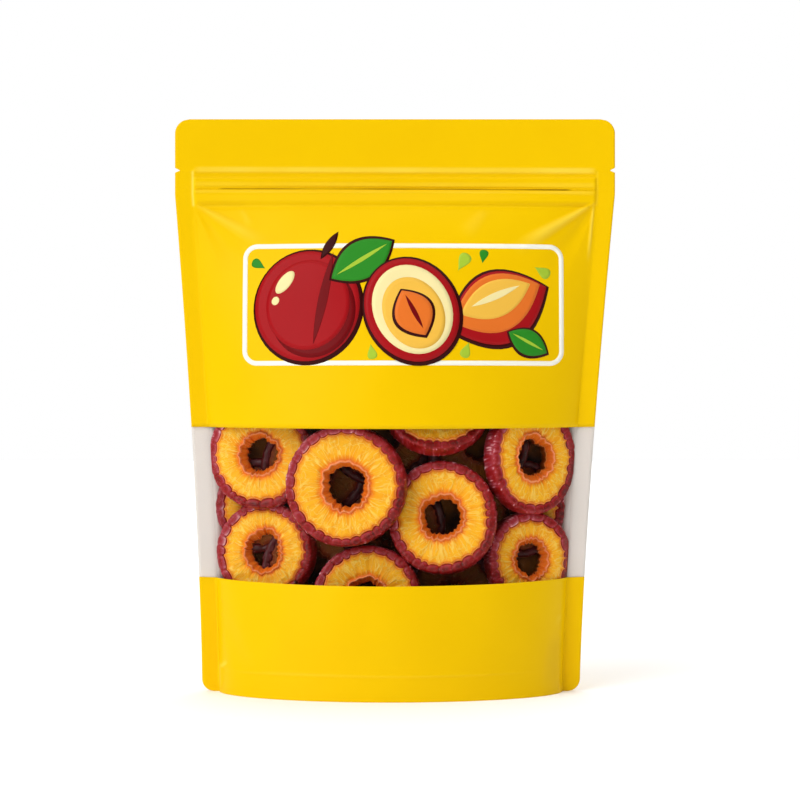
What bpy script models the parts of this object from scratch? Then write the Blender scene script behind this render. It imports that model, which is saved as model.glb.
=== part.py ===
"""Stand-up pouch of dried plum rings: film body, clear window band and the heap of rings behind it.

Metres, +Z up, front towards -Y. The origin is on the floor under the middle of the pouch.
"""

import math
import random
from collections import namedtuple

import bmesh
import bpy
from mathutils import Matrix, Vector

# The flat pouch is 150 mm wide and 200 mm tall. Filled, its mouth stays flat and full width,
# and its base pulls in as the front and back panels bow apart.
HEIGHT = 0.1957
MOUTH_HALF_WIDTH = 0.0753
BASE_HALF_WIDTH = 0.0646
TAPER_TOP = 0.170
TAPER_POWER = 1.4
LEAN = -0.0014
SIDE_SEAL = 0.006
SEAL_THICKNESS = 0.0016
TOP_CORNER_RADIUS = 0.005
BOTTOM_CORNER_RADIUS = 0.0042

# How far each panel bows out from the seal plane, from the base up to the zip.
BASE_BOW = 0.0307
ZIP_HEIGHT = 0.172
BOW_POWER = 0.62
SECTION_POWER_BASE = 0.55
SECTION_POWER_ZIP = 1.0
ZIP_RIDGE = 0.0009
ZIP_RIDGE_HALF_HEIGHT = 0.0035

NOTCH_HEIGHT = 0.1782
NOTCH_DEPTH = 0.0019
NOTCH_HALF_HEIGHT = 0.0008

# The clear band runs right across the front, between two printed fields.
WINDOW_LOW = 0.0392
WINDOW_HIGH = 0.0904
WINDOW_THICKNESS = 0.0006
GAP = 0.0003

# The room for the rings behind the front panel.
WALL = 0.0016
ROOM_LOW = 0.0128
ROOM_HIGH = 0.1185
ROOM_BACK_SHARE = 0.25

# The base film is sealed to the panels this far up, and sags to the floor in the middle.
RIM_WALL = 0.0016
GUSSET_SEAL_HEIGHT = 0.0084
GUSSET_DROP_POWER = 3
GUSSET_BELLY = 0.0010

RING_THICKNESS = 0.0075
CORE_FRONT_SHARE = -0.12
SCRAP_SHARE = 0.01

Ring = namedtuple("Ring", "x y z width height turn tip hole_width hole_height")
# Millimetres and degrees. x, y and z place the middle of the ring. A positive turn faces it to
# the right, and a positive tip faces it up. The first eight lie against the window.
FRONT_RINGS = (
    Ring(-44.9, -5.0, 81.0, 36.0, 37.4, -15, 4, 14.8, 14.6),
    Ring(-16.3, -17.6, 71.0, 41.0, 41.0, -8, 0, 16.8, 19.0),
    Ring(16.1, -14.6, 60.1, 37.2, 38.8, -7, 6, 15.4, 15.7),
    Ring(45.9, -7.7, 80.0, 34.4, 38.8, 30, 2, 15.0, 15.9),
    Ring(45.3, -5.2, 45.5, 31.0, 33.0, 18, 3, 13.0, 14.5),
    Ring(-43.7, -4.2, 48.1, 35.0, 34.5, -18, 4, 13.8, 15.6),
    Ring(-9.3, -14.0, 32.3, 37.5, 37.2, -3, 8, 15.5, 15.5),
    Ring(14.1, -12.0, 97.9, 37.0, 36.0, 4, 25, 15.0, 15.0),
)
BACK_RINGS = (
    Ring(-27.0, -2.5, 77.0, 38.0, 37.0, -8, 3, 14.5, 15.0),
    Ring(-5.0, -5.0, 88.0, 38.0, 36.5, 4, 4, 15.0, 14.0),
    Ring(28.0, -4.5, 86.0, 36.5, 38.0, 10, 3, 14.0, 15.0),
    Ring(-46.0, 0.5, 63.5, 31.0, 33.0, -10, 2, 12.0, 13.0),
    Ring(42.5, 0.5, 62.5, 31.5, 34.0, 9, 2, 12.0, 13.0),
    Ring(19.0, -4.5, 32.0, 36.0, 35.0, 5, 6, 14.0, 13.5),
    Ring(-28.0, -3.5, 42.0, 35.0, 36.0, -6, 4, 14.0, 14.0),
    Ring(-1.0, -4.0, 57.0, 37.0, 36.0, 2, -3, 14.0, 14.5),
)
FRONT_RING_SIDES = 24
BACK_RING_SIDES = 16
LOBE_DEPTH = 0.018
UNEVENNESS = 0.025
HEAP_SEED = 7

PANEL_COLUMNS = 18
ROOM_COLUMNS = 12
FAR = 0.06


def clear_scene():
    for old in list(bpy.data.objects):
        bpy.data.objects.remove(old, do_unlink=True)


def half_width(z):
    share = min(max(z / TAPER_TOP, 0.0), 1.0)
    return BASE_HALF_WIDTH + (MOUTH_HALF_WIDTH - BASE_HALF_WIDTH) * share**TAPER_POWER


def middle(z):
    """The pouch leans a little to the left towards its base."""
    return LEAN * (1 - min(max(z / ZIP_HEIGHT, 0.0), 1.0))


def bow(z):
    """How far the middle of a panel stands off the seal plane."""
    share = min(max(z / ZIP_HEIGHT, 0.0), 1.0)
    rise = max(0.0, 1 - abs(z - ZIP_HEIGHT) / ZIP_RIDGE_HALF_HEIGHT)
    return BASE_BOW * (1 - share * share) ** BOW_POWER + ZIP_RIDGE * rise


def section_power(z):
    share = min(max(z / ZIP_HEIGHT, 0.0), 1.0)
    return SECTION_POWER_BASE + (SECTION_POWER_ZIP - SECTION_POWER_BASE) * share**0.8


def lens(x, z, inset):
    """Distance of a panel from the seal plane at x, for the surface this far inside the film."""
    reach = half_width(z) - SIDE_SEAL - inset
    depth = bow(z) - inset
    across = abs(x - middle(z)) / reach
    if across >= 1 or depth <= 0:
        return 0.0
    return depth * (1 - across * across) ** section_power(z)


def across_panel(index, columns, z, inset, overhang):
    """The x of one column: the seals take a column each, and the bowed part is closer at its ends."""
    if index == 0:
        return middle(z) - half_width(z) - overhang
    if index == columns:
        return middle(z) + half_width(z) + overhang
    turn = math.pi * ((index - 1) / (columns - 2) - 0.5)
    return middle(z) + (half_width(z) - SIDE_SEAL - inset) * math.sin(turn)


def across_room(index, columns, z, inset):
    turn = math.pi * (index / columns - 0.5)
    return middle(z) + (half_width(z) - SIDE_SEAL - inset) * math.sin(turn)


def slab(name, columns, heights, front, back):
    """A closed sheet: a grid of columns and heights whose two faces lie at front and back."""
    bm = bmesh.new()
    bmesh.ops.create_grid(bm, x_segments=columns, y_segments=len(heights) - 1, size=1)
    near = {}
    for vert in bm.verts:
        column = round((vert.co.x + 1) / 2 * columns)
        row = round((vert.co.y + 1) / 2 * (len(heights) - 1))
        near[vert] = (column, heights[row])
    places = {}
    for vert, place in near.items():
        places[vert.co.copy().freeze()] = place
    grown = bmesh.ops.extrude_face_region(bm, geom=bm.faces[:])
    far = [item for item in grown["geom"] if isinstance(item, bmesh.types.BMVert)]
    for vert in far:
        vert.co = back(*places[vert.co.copy().freeze()])
    for vert, place in near.items():
        vert.co = front(*place)
    bmesh.ops.recalc_face_normals(bm, faces=bm.faces[:])
    return mesh_object(name, bm)


def mesh_object(name, bm):
    mesh = bpy.data.meshes.new(name)
    bm.to_mesh(mesh)
    bm.free()
    made = bpy.data.objects.new(name, mesh)
    bpy.context.scene.collection.objects.link(made)
    return made


def helper(cutter):
    cutter.hide_render = True
    cutter.display_type = "WIRE"
    return cutter


def boolean(target, cutter, operation):
    change = target.modifiers.new(cutter.name, "BOOLEAN")
    change.object = helper(cutter)
    change.operation = operation
    change.solver = "EXACT"


def apply_modifiers(target):
    graph = bpy.context.evaluated_depsgraph_get()
    graph.update()
    shaped = bpy.data.meshes.new_from_object(target.evaluated_get(graph))
    target.modifiers.clear()
    target.data = shaped


def material(name, colour, roughness, alpha=1.0):
    made = bpy.data.materials.new(name)
    made.use_nodes = True
    shader = made.node_tree.nodes["Principled BSDF"]
    shader.inputs["Base Color"].default_value = (*colour, 1.0)
    shader.inputs["Roughness"].default_value = roughness
    shader.inputs["Metallic"].default_value = 0.0
    shader.inputs["Alpha"].default_value = alpha
    return made


def arc(x, z, radius, start, end, steps):
    for step in range(steps + 1):
        turn = math.radians(start + (end - start) * step / steps)
        yield x + radius * math.cos(turn), z + radius * math.sin(turn)


def right_edge():
    """The right half of the outline, from the bottom corner up to the top corner."""
    points = list(arc(half_width(0) - BOTTOM_CORNER_RADIUS, BOTTOM_CORNER_RADIUS,
                      BOTTOM_CORNER_RADIUS, -90, 0, 5))
    for step in range(1, 9):
        z = BOTTOM_CORNER_RADIUS + (TAPER_TOP - BOTTOM_CORNER_RADIUS) * step / 8
        points.append((half_width(z), z))
    for turn in (-90, -30, 30, 90):
        angle = math.radians(turn)
        points.append((MOUTH_HALF_WIDTH - NOTCH_DEPTH * max(0.0, math.cos(angle)),
                       NOTCH_HEIGHT + NOTCH_HALF_HEIGHT * math.sin(angle)))
    points += arc(MOUTH_HALF_WIDTH - TOP_CORNER_RADIUS, HEIGHT - TOP_CORNER_RADIUS,
                  TOP_CORNER_RADIUS, 0, 90, 5)
    return points


def outline():
    """The pouch's silhouette from the front, pushed through from front to back."""
    right = right_edge()
    left = [(-x, z) for x, z in reversed(right)]
    bm = bmesh.new()
    corners = [bm.verts.new((x + middle(z), -FAR, z)) for x, z in right + left]
    face = bm.faces.new(corners)
    grown = bmesh.ops.extrude_face_region(bm, geom=[face])
    pushed = [item for item in grown["geom"] if isinstance(item, bmesh.types.BMVert)]
    bmesh.ops.translate(bm, verts=pushed, vec=(0, 2 * FAR, 0))
    bmesh.ops.recalc_face_normals(bm, faces=bm.faces[:])
    return mesh_object("outline", bm)


def panel_heights():
    """Rows of the panels, closer together near the zip, where the bow ends."""
    rows = [-0.002, 0.0]
    rows += [ZIP_HEIGHT * math.sin(math.pi / 2 * step / 13) for step in range(1, 13)]
    rows += [ZIP_HEIGHT - ZIP_RIDGE_HALF_HEIGHT * 0.5, ZIP_HEIGHT, ZIP_HEIGHT + ZIP_RIDGE_HALF_HEIGHT]
    rows += [HEIGHT + 0.002]
    return sorted(rows)


def film_surface(side, columns, inset, overhang, base):
    """A function from a grid place to a point of the front (-1) or back (+1) surface."""
    def place(column, z):
        x = across_panel(column, columns, z, inset, overhang)
        bulge = 0.0 if column in (0, columns) else lens(x, z, inset)
        return Vector((x, side * (base + bulge), z))
    return place


def gusset_recess():
    """What the underside leaves free: up to the base film's seal at the rim, nothing in the middle."""
    bm = bmesh.new()
    bmesh.ops.create_uvsphere(bm, u_segments=36, v_segments=8, radius=1)
    reach = half_width(0) - SIDE_SEAL - RIM_WALL
    depth = BASE_BOW - RIM_WALL
    for vert in bm.verts:
        out = min(1.0, math.hypot(vert.co.x, vert.co.y))
        turn = math.atan2(vert.co.x, abs(vert.co.y))
        x = out * reach * math.sin(turn)
        y = out * depth * math.cos(turn) ** (2 * SECTION_POWER_BASE) * math.copysign(1, vert.co.y)
        if vert.co.z > 0.01:
            z = GUSSET_SEAL_HEIGHT * out**GUSSET_DROP_POWER - GUSSET_BELLY
        elif vert.co.z < -0.01:
            z = -0.02
        else:
            z = GUSSET_SEAL_HEIGHT * 0.5
        vert.co = (x + middle(0), y, z)
    bmesh.ops.remove_doubles(bm, verts=bm.verts[:], dist=1e-6)
    bmesh.ops.recalc_face_normals(bm, faces=bm.faces[:])
    return mesh_object("gusset_recess", bm)


def room_heights():
    low = [ROOM_LOW + (WINDOW_LOW - ROOM_LOW) * step / 3 for step in range(4)]
    band = [WINDOW_LOW + (WINDOW_HIGH - WINDOW_LOW) * step / 5 for step in range(6)]
    high = [WINDOW_HIGH + (ROOM_HIGH - WINDOW_HIGH) * step / 3 for step in range(4)]
    edge = 0.001
    return low[:-1] + [WINDOW_LOW + edge / 2, WINDOW_LOW + edge] + band[1:-1] + [
        WINDOW_HIGH - edge, WINDOW_HIGH - edge / 2] + high[1:]


def ring_room():
    """The space behind the front panel. Along the band it reaches out to the window."""
    def in_band(z):
        return WINDOW_LOW + 0.0009 < z < WINDOW_HIGH - 0.0009

    def front(column, z):
        x = across_room(column, ROOM_COLUMNS, z, WALL)
        reach = lens(x, z, WALL)
        if in_band(z) and 0 < column < ROOM_COLUMNS:
            reach = lens(x, z, WINDOW_THICKNESS)
        return Vector((x, -reach - 0.0002, z))

    def back(column, z):
        x = across_room(column, ROOM_COLUMNS, z, WALL)
        return Vector((x, ROOM_BACK_SHARE * lens(x, z, WALL) + 0.0002, z))

    return slab("ring_room", ROOM_COLUMNS, room_heights(), front, back)


def window_slot():
    """The layer of film that the window takes the place of, with its gap."""
    rows = [WINDOW_LOW + (WINDOW_HIGH - WINDOW_LOW) * step / 6 for step in range(7)]
    inset = WINDOW_THICKNESS + GAP

    def front(column, z):
        x = across_panel(column, PANEL_COLUMNS, z, inset, 0.01)
        return Vector((x, -FAR, z))

    base = SEAL_THICKNESS / 2 - inset
    return slab("window_slot", PANEL_COLUMNS, rows, front,
                film_surface(-1, PANEL_COLUMNS, inset, 0.01, base))


def pouch_body():
    rows = panel_heights()
    base = SEAL_THICKNESS / 2
    body = slab("pouch_body", PANEL_COLUMNS, rows,
                film_surface(-1, PANEL_COLUMNS, 0, 0.003, base),
                film_surface(1, PANEL_COLUMNS, 0, 0.003, base))
    boolean(body, outline(), "INTERSECT")
    boolean(body, gusset_recess(), "DIFFERENCE")
    boolean(body, window_slot(), "DIFFERENCE")
    boolean(body, ring_room(), "DIFFERENCE")
    body.data.materials.append(material("yellow_film", (0.97, 0.58, 0.01), 0.4))
    return body


def window_film():
    """The clear band, a thin bowed sheet whose ends are sealed to the back panel."""
    rows = [WINDOW_LOW + GAP + (WINDOW_HIGH - WINDOW_LOW - 2 * GAP) * step / 6 for step in range(7)]
    base = SEAL_THICKNESS / 2
    film = slab("window_film", PANEL_COLUMNS, rows,
                film_surface(-1, PANEL_COLUMNS, 0, 0, base),
                film_surface(-1, PANEL_COLUMNS, WINDOW_THICKNESS, 0, base - WINDOW_THICKNESS))
    film.data.materials.append(material("clear_film", (0.9, 0.9, 0.88), 0.1, 0.3))
    return film


def ring_profile(hole, outer, thickness):
    """Half section of a dried ring: a lip round the hole, a dished face and a curled skin edge."""
    half = thickness / 2
    front = [
        (hole, 0.35 * half),
        (hole + 0.06 * (outer - hole), 1.0 * half),
        (hole + 0.30 * (outer - hole), 0.80 * half),
        (hole + 0.80 * (outer - hole), 0.86 * half),
        (hole + 0.92 * (outer - hole), 0.98 * half),
        (outer, 0.45 * half),
    ]
    return [(r, -y) for r, y in front] + [(r, y) for r, y in reversed(front)]


def plum_ring(name, ring, sides, draw):
    """One ring, turned round its own axis, made uneven and set in its place."""
    outer = 1.0
    hole = (ring.hole_width + ring.hole_height) / (ring.width + ring.height)
    profile = ring_profile(hole, outer, RING_THICKNESS)
    bm = bmesh.new()
    loop = [bm.verts.new((radius, y, 0)) for radius, y in profile]
    edges = [bm.edges.new((loop[i], loop[(i + 1) % len(loop)])) for i in range(len(loop))]
    bmesh.ops.spin(bm, geom=loop + edges, cent=(0, 0, 0), axis=(0, 1, 0), dvec=(0, 0, 0),
                   angle=2 * math.pi, steps=sides, use_merge=True)
    bmesh.ops.recalc_face_normals(bm, faces=bm.faces[:])
    phase = draw.uniform(0, math.tau)
    for vert in bm.verts:
        turn = math.atan2(vert.co.z, vert.co.x)
        radius = math.hypot(vert.co.x, vert.co.z)
        swell = 1 + LOBE_DEPTH * math.cos(turn * sides / 2) * radius
        swell += UNEVENNESS * math.cos(2 * turn + phase) + draw.uniform(-0.004, 0.004)
        vert.co.x *= swell * ring.width / 2000
        vert.co.z *= swell * ring.height / 2000
    place = Matrix.Translation((ring.x / 1000, ring.y / 1000, ring.z / 1000))
    place @= Matrix.Rotation(math.radians(ring.turn), 4, "Z")
    place @= Matrix.Rotation(math.radians(-ring.tip), 4, "X")
    bmesh.ops.transform(bm, matrix=place, verts=bm.verts[:])
    return mesh_object(name, bm)


def inner_slab(name, front_share, inset):
    """A block that fills the room for the rings, less a gap, from a share of its front bow."""
    low = ROOM_LOW + GAP
    high = ROOM_HIGH - GAP
    rows = [low + (high - low) * step / 10 for step in range(11)]

    def face(share, sunk):
        def place(column, z):
            x = across_room(column, ROOM_COLUMNS, z, inset)
            return Vector((x, share * lens(x, z, inset) + sunk, z))
        return place

    return slab(name, ROOM_COLUMNS, rows, face(front_share, -0.0003), face(ROOM_BACK_SHARE, 0.0))


def signed_volume(faces):
    total = 0.0
    for face in faces:
        first = face.verts[0].co
        for one, two in zip(face.verts[1:], face.verts[2:]):
            total += first.dot(one.co.cross(two.co)) / 6
    return total


def fill_hollows(target):
    """Removes the inside-out shells of hollows that joining sealed, and any loose scrap."""
    bm = bmesh.new()
    bm.from_mesh(target.data)
    waiting = set(bm.faces)
    shells = []
    while waiting:
        front = [waiting.pop()]
        shell = []
        while front:
            face = front.pop()
            shell.append(face)
            for edge in face.edges:
                for other in edge.link_faces:
                    if other in waiting:
                        waiting.remove(other)
                        front.append(other)
        shells.append(shell)
    smallest_kept = SCRAP_SHARE * max(signed_volume(shell) for shell in shells)
    spare = [face for shell in shells if signed_volume(shell) < smallest_kept for face in shell]
    bmesh.ops.delete(bm, geom=spare, context="FACES")
    bmesh.ops.triangulate(bm, faces=bm.faces[:])
    bm.to_mesh(target.data)
    bm.free()


def plum_rings():
    """The heap behind the window: a core with the rings that show joined to it."""
    draw = random.Random(HEAP_SEED)
    pieces = bpy.data.collections.new("ring_pieces")
    bpy.context.scene.collection.children.link(pieces)
    rings = [plum_ring(f"front_ring_{index}", ring, FRONT_RING_SIDES, draw)
             for index, ring in enumerate(FRONT_RINGS)]
    rings += [plum_ring(f"back_ring_{index}", ring, BACK_RING_SIDES, draw)
              for index, ring in enumerate(BACK_RINGS)]
    for ring in rings:
        bpy.context.scene.collection.objects.unlink(ring)
        pieces.objects.link(ring)
    heap = inner_slab("plum_rings", CORE_FRONT_SHARE, WALL + GAP)
    join = heap.modifiers.new("join", "BOOLEAN")
    join.operand_type = "COLLECTION"
    join.collection = pieces
    join.operation = "UNION"
    join.solver = "MANIFOLD"
    limit = inner_slab("heap_limit", -1, WALL + GAP)
    trim = heap.modifiers.new("trim", "BOOLEAN")
    trim.object = limit
    trim.operation = "INTERSECT"
    trim.solver = "MANIFOLD"
    apply_modifiers(heap)
    fill_hollows(heap)
    for ring in rings:
        bpy.data.objects.remove(ring, do_unlink=True)
    bpy.data.objects.remove(limit, do_unlink=True)
    bpy.data.collections.remove(pieces)
    heap.data.materials.clear()
    heap.data.materials.append(material("dried_plum", (0.55, 0.2, 0.05), 0.5))
    return heap


def main():
    clear_scene()
    for made in (pouch_body(), window_film(), plum_rings()):
        made.data.shade_smooth()
        made.data.set_sharp_from_angle(angle=math.radians(35))


main()
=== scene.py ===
"""Looks of a filled stand-up pouch: film panels, clear band, print and dried plum rings."""

import bisect
import math
import random
from collections import namedtuple

import bmesh
import bpy
from bpy.props import FloatProperty, FloatVectorProperty, IntProperty, PointerProperty
from mathutils import Matrix, Vector, noise


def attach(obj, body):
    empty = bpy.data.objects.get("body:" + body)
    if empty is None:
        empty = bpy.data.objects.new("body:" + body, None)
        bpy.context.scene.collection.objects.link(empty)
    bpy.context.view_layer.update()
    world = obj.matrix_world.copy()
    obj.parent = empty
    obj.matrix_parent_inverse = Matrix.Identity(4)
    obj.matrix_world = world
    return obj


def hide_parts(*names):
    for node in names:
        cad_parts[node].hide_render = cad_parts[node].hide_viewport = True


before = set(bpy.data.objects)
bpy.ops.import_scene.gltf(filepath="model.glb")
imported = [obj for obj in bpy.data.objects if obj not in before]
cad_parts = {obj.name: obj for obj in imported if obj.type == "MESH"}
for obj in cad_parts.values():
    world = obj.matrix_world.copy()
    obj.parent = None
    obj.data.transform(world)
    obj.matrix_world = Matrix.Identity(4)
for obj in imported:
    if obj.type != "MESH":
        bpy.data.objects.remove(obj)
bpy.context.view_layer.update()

bl_info = {
    "name": "Stand-up pouch of dried plum rings",
    "version": (1, 0, 0),
    "blender": (4, 5, 0),
    "location": "3D View > Sidebar > Pouch",
    "description": "Builds a filled stand-up pouch with a clear band over dried plum rings",
    "category": "Add Mesh",
}

MM = 0.001

# Outline of the flat film, in metres, as in the part's source
HEIGHT = 0.1957
MOUTH_HALF_WIDTH = 0.0753
BASE_HALF_WIDTH = 0.0646
TAPER_TOP = 0.170
TAPER_POWER = 1.4
LEAN = -0.0014
SIDE_SEAL = 0.006
TOP_CORNER_RADIUS = 0.005
BOTTOM_CORNER_RADIUS = 0.0042
NOTCH_HEIGHT = 0.1782
NOTCH_DEPTH = 0.0019
NOTCH_HALF_HEIGHT = 0.0008

# How far the filled panels stand out, in metres, as in the part's source
BASE_BOW = 0.0307
ZIP_HEIGHT = 0.172
BOW_POWER = 0.62
SECTION_POWER_BASE = 0.55
SECTION_POWER_ZIP = 1.0
GUSSET_SEAL_HEIGHT = 0.0084
GUSSET_DROP_POWER = 3

# Base film: the share of its depth that goes up inside the panels, how far it lies inside their
# walls, and how far it dips beside its seal
GUSSET_SKIRT = 0.24
GUSSET_INSET = 0.0006
GUSSET_TUCK = 0.0009

# Clear band between the two printed fields of the front
WINDOW_LOW = 0.0391
WINDOW_HIGH = 0.0904
WINDOW_LOW_DIP = 0.0010
WINDOW_HIGH_DIP = 0.0004
DIP_REACH = 0.020
WINDOW_LAP = 0.0012
FILM_CLEARANCE = 0.0005
CLEAR_THICKNESS = 0.00012
LINING_PINCH = 0.008
LINING_KEPT = 0.08

# Faces of a film: the share of its columns between the inner lines of the seals, the height of its
# rows, and where they lie close together and closest of all
SEAM_SHARE = 0.88
ROW = 0.0016
CLOSE_ROW = 0.00035
CLOSE_STRIPS = ((-0.001, 0.0128), (0.1490, HEIGHT + 0.001))
CLOSEST_STRIP = (0.1710, 0.1724)

# The hole of a ring narrows to an edge at this share of the thickness, by this much
HOLE_EDGE = 0.42
HOLE_NARROWS = 0.0019
HOLE_FRILL = 0.00045

# Flesh of a ring, in metres: how far inside the outer line it ends, how far the points at the lip
# draw the hole in, and the relief of its cut face
FLESH_INSET = 0.0017
LIP_POINTS = 0.0011
LIP_FLUTES = 0.00055
LIP_RISE = 0.00045
LIP_GROOVE = 0.00035
FACE_PUCKERS = 0.00040
FACE_RAYS = 0.00034
FACE_WAVES = 0.00030
UNDER_SKIN = 0.00075

# Skin of a ring, in metres: how far it stays inside the outer line, how far its lobes stand out and
# up, and its dents, creases, wrinkles and crinkles
SKIN_ROOM = 0.0002
LOBES_OUT = 0.00026
LOBES_UP = 0.00045
SKIN_LIFT = 0.00010
SKIN_DENT = 0.00022
SKIN_CREASE = 0.00020
WRINKLES_OUT = 0.00026
WRINKLES_UP = 0.00018
CRINKLES = 0.00016

# Room behind the band that the heap of rings fills
ROOM_LOW = 0.0128
ROOM_HIGH = 0.1185
CORE_FRONT_SHARE = -0.12
CORE_BACK_SHARE = 0.25
CORE_LUMPS = 0.0014
CORE_ROOM = 0.002
CORE_SIDE_ROOM = 0.006
CORE_SET_BACK = 0.002
CORE_LEAST_DEPTH = 0.001

# Fruit near the film is pressed flat over these last stretches, at the sides and in front, and
# always has this much depth
SIDE_KNEE = 0.0006
FRONT_KNEE = 0.0016
LEAST_DEPTH = 0.0004

# Each horizontal line pressed into the header: where its slope starts and ends, how far the slope
# lifts the film, and its tone of light painted into the ink, 1 a pale painted highlight and -1
# dark painted shade
Band = namedtuple("Band", "high low rise tone")
HEADER_BANDS = (
    Band(0.17910, 0.17745, 0.00045, 0.52),
    Band(0.17395, 0.17260, 0.00030, 0.16),
    Band(0.17185, 0.17145, -0.00040, -1.0),
    Band(0.17110, 0.17020, 0.00030, 0.20),
    Band(0.16740, 0.16570, -0.00045, -0.14),
)
STEP_BACK = 0.0003
HEADER_TILT = 0.0035
ZIP_PLATEAU_LOW = 0.1640
ZIP_PLATEAU_HIGH = 0.1762
ZIP_PLATEAU_RISE = 0.0007

# The groove of the zip ends this far from the seals. Beside it a painted highlight, a pale tick,
# runs along each seal, strong on the left where the light comes from and faint on the right
GROOVE_END = 0.008
TICK_LOW = 0.1655
TICK_HIGH = 0.1785
TICK_HALF_WIDTH = 0.0007

# A low ridge runs beside each seal
SEAL_RIDGE = 0.00012
SEAL_RIDGE_HALF_WIDTH = 0.0009

# Soft waves of a panel: noise cells to the metre across and up, a shift for each side, and height
Wave = namedtuple("Wave", "across up shift height")
WAVES = (Wave(28, 34, 7.0, 0.00075), Wave(75, 60, 3.0, 0.00022))

# Each fold of a panel: its two ends, half width at both ends, how far it stands out and its tone of
# light painted into the ink, a pale painted highlight above 0 and painted shade below. It fades out
# over a share of its length past both ends
Fold = namedtuple("Fold", "x z end_x end_z half_width end_half_width rise tone")
FOLD_RUN_OUT = 0.2
FRONT_FOLDS = (
    Fold(-0.0660, 0.1652, -0.0450, 0.1530, 0.0006, 0.0026, 0.0009, 0.22),
    Fold(-0.0655, 0.1625, -0.0520, 0.1440, 0.0010, 0.0045, -0.0006, 0.0),
    Fold(-0.0520, 0.1640, -0.0490, 0.1590, 0.0006, 0.0014, 0.0003, 0.12),
    Fold(0.0658, 0.1655, 0.0440, 0.1525, 0.0006, 0.0022, 0.0011, 0.40),
    Fold(0.0660, 0.1625, 0.0530, 0.1440, 0.0010, 0.0045, -0.0006, 0.0),
    Fold(0.0678, 0.1650, 0.0662, 0.1490, 0.0004, 0.0006, 0.0004, 0.5),
    Fold(0.0300, 0.1630, 0.0240, 0.1560, 0.0014, 0.0026, 0.0003, 0.10),
    Fold(-0.0597, 0.0095, -0.0595, 0.0010, 0.0004, 0.0005, 0.0003, 0.3),
    Fold(-0.0592, 0.0090, -0.0570, 0.0112, 0.0005, 0.0007, 0.0004, 0.5),
    Fold(-0.0560, 0.0230, -0.0500, 0.0060, 0.0020, 0.0040, -0.0005, 0.0),
    Fold(-0.0470, 0.0084, 0.0430, 0.0086, 0.0004, 0.0004, 0.0002, 0.08),
    Fold(0.0545, 0.0180, 0.0530, 0.0010, 0.0024, 0.0030, -0.0004, -0.10),
    Fold(0.0562, 0.0262, 0.0545, 0.0240, 0.0006, 0.0010, 0.0003, 0.2),
)
BACK_FOLDS = (
    Fold(-0.0660, 0.1650, -0.0440, 0.1520, 0.0008, 0.0040, 0.0011, 0.40),
    Fold(0.0660, 0.1652, 0.0480, 0.1540, 0.0008, 0.0036, 0.0010, 0.35),
    Fold(0.0560, 0.0090, 0.0535, 0.0110, 0.0005, 0.0007, 0.0004, 0.3),
    Fold(-0.0440, 0.0084, 0.0460, 0.0085, 0.0004, 0.0004, 0.0002, 0.08),
)

# Every dried ring in mm and degrees: middle, outside, turn to the right, tip upwards and hole
Ring = namedtuple("Ring", "x y z width height turn tip hole_width hole_height")
FRONT_RINGS = (
    Ring(-45.1, -5.0, 81.0, 37.6, 37.4, -15, 4, 14.8, 14.6),
    Ring(-16.3, -17.6, 71.0, 41.2, 41.2, -8, 0, 16.4, 17.2),
    Ring(16.1, -14.6, 60.1, 37.2, 38.8, -7, 6, 15.4, 15.7),
    Ring(45.9, -7.7, 80.0, 34.4, 38.8, 30, 2, 15.0, 15.9),
    Ring(45.3, -5.2, 45.5, 31.0, 33.0, 18, 3, 13.0, 14.5),
    Ring(-43.7, -4.2, 48.1, 35.0, 34.5, -18, 4, 13.8, 15.6),
    Ring(-9.3, -14.0, 32.3, 37.5, 37.2, -3, 8, 15.5, 15.5),
    Ring(14.1, -12.0, 97.9, 37.0, 36.0, 4, 25, 15.0, 15.0),
)
BACK_RINGS = (
    Ring(-27.0, -2.5, 77.0, 38.0, 37.0, -8, 3, 14.5, 15.0),
    Ring(-5.0, -5.0, 88.0, 38.0, 36.5, 4, 4, 15.0, 14.0),
    Ring(28.0, -4.5, 86.0, 36.5, 38.0, 10, 3, 14.0, 15.0),
    Ring(-46.0, 0.5, 63.5, 31.0, 33.0, -10, 2, 12.0, 13.0),
    Ring(42.5, 0.5, 62.5, 31.5, 34.0, 9, 2, 12.0, 13.0),
    Ring(19.0, -4.5, 32.0, 36.0, 35.0, 5, 6, 14.0, 13.5),
    Ring(-28.0, -3.5, 42.0, 35.0, 36.0, -6, 4, 14.0, 14.0),
    Ring(-1.0, -4.0, 57.0, 37.0, 36.0, 2, -3, 14.0, 14.5),
)

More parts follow.
